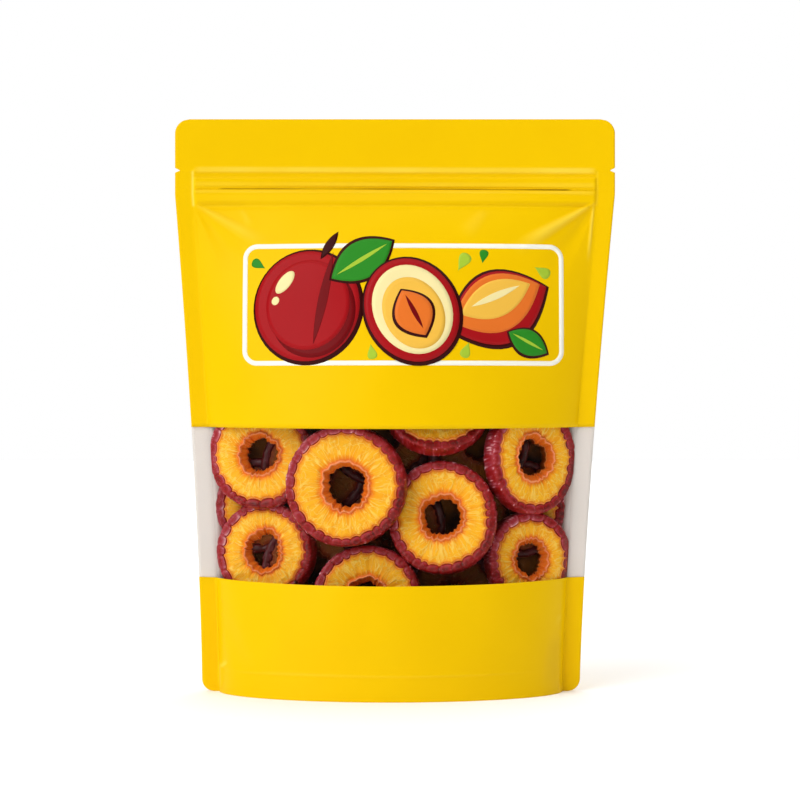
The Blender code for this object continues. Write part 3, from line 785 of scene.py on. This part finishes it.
class RingShape:
    """Sizes of one ring's lobes, frill and unevenness, in metres, drawn once."""

    def __init__(self, ring, number, settings):
        draw = random.Random(400 + number)
        self.ring = ring
        self.number = number
        self.half = settings.thickness / 2
        self.rim = settings.skin_width
        # The setting gives the lobes of a ring 41 mm across
        lobes = round(settings.lobes * (ring.width + ring.height) / 82)
        self.lobes = uneven_turn(draw, lobes, 0.38)
        self.lobe_size = [draw.uniform(0.55, 1.0) for _ in range(lobes)]
        self.frill = uneven_turn(draw, settings.frill, 0.5)
        self.frill_size = [draw.uniform(0.3, 1.0) for _ in range(settings.frill)]
        self.seed = draw.uniform(0, 50)
        turn = Matrix.Rotation(math.radians(ring.turn), 4, "Z")
        tip = Matrix.Rotation(math.radians(-ring.tip), 4, "X")
        self.place = Matrix.Translation(Vector((ring.x, ring.y, ring.z)) * MM) @ turn @ tip

    def uneven(self, angle, scale, shift):
        """Smooth noise round the ring, from -1 to 1; more scale gives it more waves."""
        return noise.noise(Vector((math.cos(angle) * scale, math.sin(angle) * scale, self.seed + shift)))

    def lobe(self, angle):
        """How full the skin's lobe is at an angle, 0 in the creases, and how far along it that lies."""
        index, along = part_of_turn(self.lobes, angle)
        return math.sin(math.pi * along) ** 0.36 * self.lobe_size[index], along

    def flute(self, angle, power=1.0):
        """How far the frill of the hole bows at an angle, 0 where two flutes meet."""
        index, along = part_of_turn(self.frill, angle)
        return math.sin(math.pi * along) ** power * self.frill_size[index]

    def outside(self, angle):
        """Radius of the ring's outer line."""
        line = oval(self.ring.width / 2 * MM, self.ring.height / 2 * MM, angle)
        return line * (1 + 0.02 * self.uneven(angle, 1.1, 0)) - SKIN_ROOM

    def skin_edge(self, angle):
        """Radius where the skin that curls over the face ends."""
        full, _ = self.lobe(angle)
        width = self.rim * (0.62 + 0.40 * full + 0.14 * self.uneven(angle, 1.5, 9))
        return self.outside(angle) - width

    def hole(self, angle):
        """Radius of the hole at the lip, drawn in at the points of its frill."""
        index, along = part_of_turn(self.frill, angle)
        line = oval(self.ring.hole_width / 2 * MM, self.ring.hole_height / 2 * MM, angle)
        peak = abs(2 * along - 1) * self.frill_size[index]
        uneven = 1 + 0.10 * self.uneven(angle, 1.3, 3) + 0.04 * self.uneven(angle, 4, 5)
        return line * uneven - LIP_POINTS * peak

    def flesh(self, share, depth, angle):
        """A place on the flesh: share runs from hole to skin, depth from face to back, -1 to 1."""
        hole = self.hole(angle)
        radius = hole + (self.outside(angle) - FLESH_INSET - hole) * share
        out = self.half * 0.93
        if depth < 0:
            flute = self.flute(angle)
            near = math.exp(-share / 0.16)
            out -= LIP_FLUTES * flute * near * smooth(share / 0.05)
            out += LIP_RISE * hump(share - 0.012, 0.035) * (0.5 + 0.5 * flute)
            out -= LIP_GROOVE * hump(share - 0.11, 0.09)
            x, z = radius * math.cos(angle), radius * math.sin(angle)
            to_skin = self.skin_edge(angle) - radius
            open_face = smooth(to_skin / 0.0012)
            pucker = 0.4 - abs(noise.noise(Vector((x * 300, z * 300, self.seed))))
            ray = 0.3 - abs(self.uneven(angle, 8, share))
            out += FACE_PUCKERS * pucker * smooth((share - 0.2) / 0.4) * open_face
            out += FACE_RAYS * ray * smooth(share / 0.1) * (1.3 - share) * open_face
            out += FACE_WAVES * self.uneven(angle, 1.2, 20 + share) * open_face
            out -= UNDER_SKIN * (1 - smooth(to_skin / 0.0007 + 0.5))
        if share == 0:
            radius -= self.funnel(depth, angle)
        return Vector((radius * math.cos(angle), depth * out, radius * math.sin(angle)))

    def funnel(self, depth, angle):
        """How much narrower the hole is than its lip: a fluted slope to a frilled edge halfway in."""
        inner = (depth + 1) / 2
        slope = smooth(inner / HOLE_EDGE) if inner < HOLE_EDGE else 1 - 0.25 * (inner - HOLE_EDGE)
        uneven = 1 + 0.45 * self.uneven(angle, 1.4, 31)
        return slope * (HOLE_NARROWS * uneven - HOLE_FRILL * self.flute(angle + 0.16, 0.7))

    def skin(self, round_section, angle):
        """A place on the skin's band and its painted light; round_section is the angle round its section."""
        across, depth = math.cos(round_section), math.sin(round_section)
        full, along = self.lobe(angle + 0.015 * (across - depth))
        to_crease = min(along, 1 - along)
        crease = math.exp(-to_crease / 0.06)
        # Painted highlight on the lobes' outlines and painted shade under the skin's edge, for its colour
        outline = hump(across + 0.5, 0.35) * (1 - crease) + 0.4 * hump(to_crease - 0.16, 0.12)
        painted_shade_under_edge = hump(across + 0.95, 0.3)

        # The section is squarer than a circle
        across = math.copysign(abs(across) ** 0.6, across)
        depth = math.copysign(abs(depth) ** 0.55, depth)
        outside = self.outside(angle) + LOBES_OUT * (full - 0.6)
        inside = self.skin_edge(angle)
        radius = (outside + inside) / 2 + across * (outside - inside) / 2
        dent = hump(along - 0.5, 0.34) * hump(across + 0.1, 0.6)
        wrinkle = self.uneven(angle, 26, depth * 1.6)
        crinkle = self.uneven(angle, 60, depth * 4)
        radius += (WRINKLES_OUT * wrinkle + CRINKLES * crinkle) * max(0.0, across)
        out = self.half + SKIN_LIFT + LOBES_UP * (full - 0.5) - SKIN_DENT * dent - SKIN_CREASE * crease
        out += WRINKLES_UP * wrinkle
        place = Vector((radius * math.cos(angle), depth * out, radius * math.sin(angle)))

        # Painted light: pale painted glints on thin crinkles outside, painted highlights on the lobes'
        # outlines, and painted shade in the creases and under the edge
        painted_glint = max(0.0, 1 - abs(crinkle) * 6) * smooth((across - 0.3) / 0.4)
        painted_glint *= 0.25 + 0.75 * max(0.0, wrinkle)
        side = 1 - 0.6 * smooth((across - 0.2) / 0.4)
        painted_shade = (0.20 * crease + 0.40 * painted_shade_under_edge) * side + 0.10 * dent
        return place, 0.36 * outline * side - painted_shade + 1.5 * painted_glint


def flesh_profile(face_steps):
    """Section of the flesh as share and depth: up the hole's wall, over the lip, out and back."""
    wall = [(0.0, 0.85 - 1.75 * step / 11) for step in range(12)]
    lip = [(0.0, -0.97), (0.012, -1.0), (0.03, -1.0), (0.05, -1.0)]
    face = [(0.05 + 0.95 * (step / face_steps) ** 0.9, -1.0) for step in range(1, face_steps + 1)]
    back = [(1.0, 0.0), (1.0, 1.0), (0.7, 1.0), (0.35, 1.0), (0.08, 1.0)]
    return wall + lip + face + back


def spun(section, steps):
    """A closed section of radius and height, spun round the Y axis, as a mesh to copy."""
    bm = bmesh.new()
    made = bmesh.ops.create_circle(bm, segments=len(section), radius=1)
    for vert, (radius, height) in zip(made["verts"], section):
        vert.co = (radius, height, 0)
    bmesh.ops.spin(bm, geom=bm.verts[:] + bm.edges[:], cent=(0, 0, 0), axis=(0, 1, 0), angle=math.tau,
                   steps=steps, use_merge=True)
    mesh = bpy.data.meshes.new("spun_section")
    bm.to_mesh(mesh)
    bm.free()
    return mesh


def add_copy(bm, mesh):
    """Copies a mesh into a bmesh and returns the new vertices."""
    bm.from_mesh(mesh)
    bm.verts.ensure_lookup_table()
    return bm.verts[-len(mesh.vertices):]


def add_flesh(bm, shape, spun_ring):
    """Adds one ring's flesh; share, grain and the gap to the skin in mm are kept for its material."""
    share_layer = bm.verts.layers.float["share"]
    grain_layer = bm.verts.layers.float_vector["grain"]
    gap_layer = bm.verts.layers.float["gap"]
    for vert in add_copy(bm, spun_ring):
        angle = math.atan2(vert.co.z, vert.co.x)
        share = round(math.hypot(vert.co.x, vert.co.z) - 2, 4)
        depth = round(vert.co.y, 4)
        spot = shape.flesh(share, depth, angle)
        vert[gap_layer] = (shape.skin_edge(angle) - math.hypot(spot.x, spot.z)) / MM
        vert.co = contained(shape.place @ spot)
        vert[share_layer] = share if share > 0 else -(depth + 1) / 2
        vert[grain_layer] = (math.cos(angle) * 5, math.sin(angle) * 5, share * 0.9 + shape.number * 7)


def add_skin(bm, shape, spun_band):
    """Adds one ring's band of skin; its painted highlights and shade are kept for its material."""
    painted_skin_light_layer = bm.verts.layers.float["painted_skin_light"]
    for vert in add_copy(bm, spun_band):
        angle = math.atan2(vert.co.z, vert.co.x)
        round_section = math.atan2(vert.co.y, math.hypot(vert.co.x, vert.co.z) - 3)
        spot, tone = shape.skin(round_section, angle)
        vert.co = contained(shape.place @ spot)
        # Painted highlight towards the upper left, where the light comes from
        painted_light_upper_left = math.cos(angle - math.radians(140))
        vert[painted_skin_light_layer] = 0.38 + 0.15 * painted_light_upper_left + tone


def ring_meshes(rings, first, settings, face_steps, section_steps, turn_steps):
    """The flesh and the skin of a set of rings, as two meshes."""
    flesh, skin = bmesh.new(), bmesh.new()
    flesh.verts.layers.float.new("share")
    flesh.verts.layers.float.new("gap")
    flesh.verts.layers.float_vector.new("grain")
    skin.verts.layers.float.new("painted_skin_light")
    section = [(2 + share, depth) for share, depth in flesh_profile(face_steps)]
    spun_ring = spun(section, turn_steps)
    turns = [math.tau * step / section_steps for step in range(section_steps)]
    spun_band = spun([(3 + math.cos(turn), math.sin(turn)) for turn in turns], turn_steps)
    for number, ring in enumerate(rings, first):
        shape = RingShape(ring, number, settings)
        add_flesh(flesh, shape, spun_ring)
        add_skin(skin, shape, spun_band)
    for mesh in (spun_ring, spun_band):
        bpy.data.meshes.remove(mesh)
    for bm in (flesh, skin):
        bmesh.ops.recalc_face_normals(bm, faces=bm.faces[:])
    return flesh, skin


# Print


def rounded_line(run, half_x, half_z, radius):
    """Place and outward direction on a rounded rectangle, run metres along its line."""
    arc = radius * math.pi / 2
    for quarter in range(4):
        outward = quarter * math.pi / 2
        away, along = (half_x, half_z) if quarter % 2 == 0 else (half_z, half_x)
        length = 2 * (along - radius)
        facing = Vector((math.cos(outward), math.sin(outward)))
        heading = Vector((-facing.y, facing.x))
        if run <= length:
            return facing * away + heading * (run - length / 2), facing
        run -= length
        if run <= arc or quarter == 3:
            turned = outward + run / radius
            direction = Vector((math.cos(turned), math.sin(turned)))
            centre = facing * (away - radius) + heading * (along - radius)
            return centre + direction * radius, direction
        run -= arc


def drape(settings, fin_half, x, z, layer):
    """Lays a point of the print, measured from the middle of its frame, on the front film."""
    x += settings.frame_x
    z += settings.frame_z
    return Vector((x, -(fin_half + bulge(x, z) + relief(x, z, -1) + layer * LAYER), z))


def face_front(faces):
    """Turns printed faces so that they look out of the front panel."""
    for face in faces:
        face.normal_update()
        if face.normal.y > 0:
            face.normal_flip()


def add_frame_line(bm, settings, fin_half):
    """The white line with rounded corners that frames the print."""
    half_x, half_z, radius = settings.frame_half_x, settings.frame_half_z, settings.frame_radius
    length = 4 * (half_x + half_z - 2 * radius) + math.tau * radius
    steps = 300
    bmesh.ops.create_grid(bm, x_segments=steps, y_segments=2, size=1)
    for vert in bm.verts:
        share = round((vert.co.x + 1) / 2 * steps) % steps / steps
        place, outward = rounded_line(share * length, half_x, half_z, radius)
        spot = place + outward * (vert.co.y - 1) * settings.frame_line / 2
        vert.co = drape(settings, fin_half, spot.x, spot.y, 2)
    bmesh.ops.remove_doubles(bm, verts=bm.verts[:], dist=0.01 * MM)
    face_front(bm.faces)


def motif_place(motif, radius, angle):
    """A point of a motif, before its turn: radius runs from its middle, 0, to its outline, 1."""
    x = motif.length * radius * math.cos(angle)
    z = motif.width * radius * math.sin(angle)
    if motif.shape == "leaf":
        z *= abs(math.sin(angle))
    if motif.shape == "drop":
        z *= 1.25 * math.sin(angle / 2) ** 2
    return Matrix.Rotation(math.radians(motif.turn), 2) @ Vector((x, z))


def add_motif(bm, motif, settings, fin_half, ink):
    """One flat printed shape, laid on the film."""
    old_verts, old_faces = set(bm.verts), set(bm.faces)
    rings = max(3, round(motif.length / 1.6))
    start = bmesh.ops.create_circle(bm, segments=48, radius=1)["verts"]
    ring = list({side for vert in start for side in vert.link_edges})
    for step in range(1, rings):
        grown = bmesh.ops.extrude_edge_only(bm, edges=ring)["geom"]
        share = 1 - step / rings
        for item in grown:
            if isinstance(item, bmesh.types.BMVert):
                item.co = item.co.normalized() * share
        ring = [item for item in grown if isinstance(item, bmesh.types.BMEdge)
                and all(abs(vert.co.length - share) < 1e-5 for vert in item.verts)]
    bmesh.ops.contextual_create(bm, geom=ring)
    for vert in set(bm.verts) - old_verts:
        place = motif_place(motif, vert.co.length, math.atan2(vert.co.y, vert.co.x) % math.tau)
        vert.co = drape(settings, fin_half, (motif.x + place.x) * MM, (motif.z + place.y) * MM,
                        2 + motif.layer)
    new_faces = set(bm.faces) - old_faces
    for face in new_faces:
        face.material_index = ink
    face_front(new_faces)


# Settings that a user would change


class PouchFilmSettings(bpy.types.PropertyGroup):
    thickness: FloatProperty(name="Film thickness", description="Wall of the laminate, drawn a little thick",
                             default=0.00034, unit="LENGTH")
    fin_half: FloatProperty(name="Seal half thickness", description="Half the thickness of the side seals",
                            default=0.0005, unit="LENGTH")
    columns: IntProperty(name="Columns", description="Columns of faces across a panel", default=150, min=40)
    colour: FloatVectorProperty(name="Print colour", description="Main ink of the film", subtype="COLOR",
                                default=linear("EFC300"))
    shade: FloatVectorProperty(name="Print shade", description="Ink where it clouds", subtype="COLOR",
                               default=linear("ECBD00"))
    roughness: FloatProperty(name="Satin", description="Roughness of the lacquer", subtype="FACTOR",
                             default=0.36, min=0.0, max=1.0)


class PouchPrintSettings(bpy.types.PropertyGroup):
    frame_x: FloatProperty(name="Frame middle", description="Middle of the white frame, across",
                           default=0.0029, unit="LENGTH")
    frame_z: FloatProperty(name="Frame height", description="Middle of the white frame above the floor",
                           default=0.1318, unit="LENGTH")
    frame_half_x: FloatProperty(name="Half width", description="Half the width of the white frame",
                                default=0.0545, unit="LENGTH")
    frame_half_z: FloatProperty(name="Half height", description="Half the height of the white frame",
                                default=0.02065, unit="LENGTH")
    frame_radius: FloatProperty(name="Corner radius", description="Outer radius of the frame's corners",
                                default=0.005, unit="LENGTH")
    frame_line: FloatProperty(name="Line width", description="Width of the frame's line",
                              default=0.0016, unit="LENGTH")


class PlumRingSettings(bpy.types.PropertyGroup):
    thickness: FloatProperty(name="Thickness", description="Thickness of a dried ring",
                             default=0.0070, unit="LENGTH")
    skin_width: FloatProperty(name="Skin width", description="Skin that curls over the cut face",
                              default=0.0036, unit="LENGTH")
    lobes: IntProperty(name="Lobes", description="Lobes of skin round a ring 41 mm across", default=30, min=8)
    frill: IntProperty(name="Frill", description="Points round the hole's lip", default=17, min=5)


class StudioSettings(bpy.types.PropertyGroup):
    light: FloatProperty(name="Light", description="Strength of all lamps together", default=1.0)
    camera_distance: FloatProperty(name="Camera distance", description="Camera to the plane of the seals",
                                   default=0.8, unit="LENGTH")


# Operators


class POUCH_OT_films(bpy.types.Operator):
    """Builds the printed panels, the white lining and the gusset of the pouch."""

    bl_idname = "pouch.films"
    bl_label = "Film panels"

    def execute(self, context):
        film = context.scene.pouch_film
        yellow = satin_film("satin_print_laminate", film.colour, film.shade, film.roughness, 0.05)
        white = satin_film("white_sealing_layer", linear("E8E0D8"), linear("E0D8D0"), 0.5, 0.3)
        # The back and the lining have fewer columns than the front
        sheets = (
            ("front_upper_film", film_sheet(WINDOW_HIGH, HEIGHT, -1, film.fin_half, film.columns)),
            ("front_lower_film", film_sheet(0.0, WINDOW_LOW, -1, film.fin_half, film.columns)),
            ("back_film", film_sheet(0.0, HEIGHT, 1, film.fin_half, film.columns - 30)),
        )
        for name, bm in sheets:
            piece = add_piece(name, bm, (yellow, white), "printed_film", "pouch_body")
            add_wall(piece, film.thickness, 1)
        inside = film.fin_half - film.thickness - 0.02 * MM
        bm = film_sheet(0.0, HEIGHT - 0.2 * MM, 1, inside, film.columns - 50, True)
        add_wall(add_piece("back_lining", bm, (white,), "white_film", "pouch_body"), CLEAR_THICKNESS)
        gusset = add_piece("gusset_film", gusset_sheet(film), (yellow, white), "printed_film", "pouch_body")
        add_wall(gusset, film.thickness, 1)
        return {"FINISHED"}


class POUCH_OT_window(bpy.types.Operator):
    """Builds the clear band of the front panel."""

    bl_idname = "pouch.window"
    bl_label = "Clear band"

    def execute(self, context):
        film = context.scene.pouch_film
        bm = film_sheet(WINDOW_LOW - WINDOW_LAP, WINDOW_HIGH + WINDOW_LAP, -1, film.fin_half - 0.1 * MM,
                        film.columns - 30)
        piece = add_piece("clear_band", bm, (clear_film(),), "clear_film", "window_film")
        add_wall(piece, CLEAR_THICKNESS)
        return {"FINISHED"}


class POUCH_OT_print(bpy.types.Operator):
    """Lays the white frame and a generic fruit-and-leaf print on the front panel."""

    bl_idname = "pouch.print"
    bl_label = "Front print"

    inks = {
        "white": "FFFDEE", "outline": "3A0A0A", "plum_red": "A8141A", "deep_red": "74090F",
        "cream": "F9E9A8", "amber": "F6C04A", "orange": "E9762B", "leaf_green": "2E8B26", "lime": "A9C93A",
    }

    def execute(self, context):
        settings = context.scene.pouch_print
        fin_half = context.scene.pouch_film.fin_half
        materials = []
        for name, code in self.inks.items():
            colour = linear(code)
            shade = tuple(part * 0.86 for part in colour)
            materials.append(satin_film("printed_ink_" + name, colour, shade, 0.34, 0.08))
        bm = bmesh.new()
        add_frame_line(bm, settings, fin_half)
        names = list(self.inks)
        for motif in MOTIFS:
            add_motif(bm, motif, settings, fin_half, names.index(motif.ink))
        add_wall(add_piece("front_print", bm, materials, "print_ink"), 3 * LAYER)
        return {"FINISHED"}


class POUCH_OT_rings(bpy.types.Operator):
    """Builds the dried plum rings that show behind the clear band."""

    bl_idname = "pouch.rings"
    bl_label = "Dried plum rings"

    def execute(self, context):
        settings = context.scene.pouch_rings
        flesh = dried_flesh("dried_plum_flesh", 0.0)
        inner_flesh = dried_flesh("dried_plum_flesh_in_shade", 0.94)
        skin = plum_skin("dried_plum_skin", 0.0)
        inner_skin = plum_skin("dried_plum_skin_in_shade", 0.9)
        face, band = ring_meshes(FRONT_RINGS, 1, settings, 24, 20, 240)
        add_piece("front_ring_flesh", face, (flesh,), "plum_flesh", "plum_rings")
        add_piece("front_ring_skin", band, (skin,), "plum_skin", "plum_rings")
        face, band = ring_meshes(BACK_RINGS, 21, settings, 10, 12, 120)
        add_piece("back_ring_flesh", face, (inner_flesh,), "plum_flesh", "plum_rings")
        add_piece("back_ring_skin", band, (inner_skin,), "plum_skin", "plum_rings")
        return {"FINISHED"}


class POUCH_OT_core(bpy.types.Operator):
    """Builds the shaded rest of the heap, behind the rings that show."""

    bl_idname = "pouch.core"
    bl_label = "Heap behind the rings"

    def execute(self, context):
        bm = bmesh.new()
        bmesh.ops.create_grid(bm, x_segments=70, y_segments=60, size=1)
        grown = bmesh.ops.extrude_face_region(bm, geom=bm.faces[:])
        far = {item for item in grown["geom"] if isinstance(item, bmesh.types.BMVert)}
        for vert in bm.verts:
            share = (vert.co.y + 1) / 2
            z = ROOM_LOW + CORE_ROOM + (ROOM_HIGH - ROOM_LOW - 2 * CORE_ROOM) * share
            x = middle(z) + (reach(z) - CORE_SIDE_ROOM) * math.sin(vert.co.x * math.pi / 2)
            lump = CORE_LUMPS * noise.noise(Vector((x * 90, z * 90, 2.0)))
            depth = (CORE_BACK_SHARE if vert in far else CORE_FRONT_SHARE) * bulge(x, z)
            vert.co = (x, depth + CORE_SET_BACK + lump + (CORE_LEAST_DEPTH if vert in far else 0.0), z)
        bmesh.ops.recalc_face_normals(bm, faces=bm.faces[:])
        add_piece("heap_core", bm, (dark_flesh(),), "plum_flesh", "plum_rings")
        return {"FINISHED"}


class POUCH_OT_studio(bpy.types.Operator):
    """Sets the pale floor, the soft light and the camera."""

    bl_idname = "pouch.studio"
    bl_label = "Floor, light and camera"

    def execute(self, context):
        settings = context.scene.pouch_studio
        scene = context.scene
        bm = bmesh.new()
        bmesh.ops.create_grid(bm, x_segments=4, y_segments=4, size=3)
        mesh = bpy.data.meshes.new("floor")
        bm.to_mesh(mesh)
        bm.free()
        mesh.materials.append(white_board())
        floor = bpy.data.objects.new("floor", mesh)
        scene.collection.objects.link(floor)

        # White room that the camera alone sees, so the lamps give all the light
        world = bpy.data.worlds.new("white_room")
        scene.world = world
        world.use_nodes = True
        tree = world.node_tree
        tree.nodes.clear()
        sky = node(tree, "Background", {"Color": (1, 1, 1, 1), "Strength": 1.0})
        node(tree, "OutputWorld", {"Surface": sky})
        for ray in ("diffuse", "glossy", "transmission", "scatter"):
            setattr(world.cycles_visibility, ray, False)

        for lamp in LAMPS:
            light = bpy.data.lights.new(lamp.name, "SUN")
            light.energy = lamp.share * math.pi * settings.light
            light.angle = math.radians(lamp.angle)
            sun = bpy.data.objects.new(lamp.name, light)
            sun.rotation_euler = Vector((-lamp.x, -lamp.y, -lamp.z)).to_track_quat("-Z", "Y").to_euler()
            scene.collection.objects.link(sun)

        camera = bpy.data.objects.new("camera", bpy.data.cameras.new("camera"))
        camera.data.sensor_width = SENSOR
        camera.data.lens = FOCAL_PIXELS * SENSOR / FRAME_PIXELS
        camera.location = (CAMERA_X, -settings.camera_distance, CAMERA_Z)
        camera.rotation_euler = (math.pi / 2, 0, 0)
        scene.collection.objects.link(camera)
        scene.camera = camera
        scene.view_settings.view_transform = "Standard"
        return {"FINISHED"}


class POUCH_PT_panel(bpy.types.Panel):
    """Lists the pieces of the pouch and their settings."""

    bl_idname = "POUCH_PT_panel"
    bl_label = "Pouch of plum rings"
    bl_space_type = "VIEW_3D"
    bl_region_type = "UI"
    bl_category = "Pouch"

    def draw(self, context):
        scene = context.scene
        for settings, operators in PANEL_ROWS:
            box = self.layout.box()
            group = getattr(scene, settings)
            for name in group.__annotations__:
                box.prop(group, name)
            for operator in operators:
                box.operator(operator)


PANEL_ROWS = (
    ("pouch_film", ("pouch.films", "pouch.window")),
    ("pouch_print", ("pouch.print",)),
    ("pouch_rings", ("pouch.rings", "pouch.core")),
    ("pouch_studio", ("pouch.studio",)),
)
GROUPS = {
    "pouch_film": PouchFilmSettings,
    "pouch_print": PouchPrintSettings,
    "pouch_rings": PlumRingSettings,
    "pouch_studio": StudioSettings,
}
CLASSES = (
    *GROUPS.values(), POUCH_OT_films, POUCH_OT_window, POUCH_OT_print, POUCH_OT_rings, POUCH_OT_core,
    POUCH_OT_studio, POUCH_PT_panel,
)


def register():
    for item in CLASSES:
        bpy.utils.register_class(item)
    for name, group in GROUPS.items():
        setattr(bpy.types.Scene, name, PointerProperty(type=group))


def unregister():
    for name in GROUPS:
        delattr(bpy.types.Scene, name)
    for item in reversed(CLASSES):
        bpy.utils.unregister_class(item)


def main():
    register()
    bpy.ops.pouch.films()
    bpy.ops.pouch.window()
    bpy.ops.pouch.print()
    bpy.ops.pouch.rings()
    bpy.ops.pouch.core()
    bpy.ops.pouch.studio()


if __name__ == "__main__":
    main()
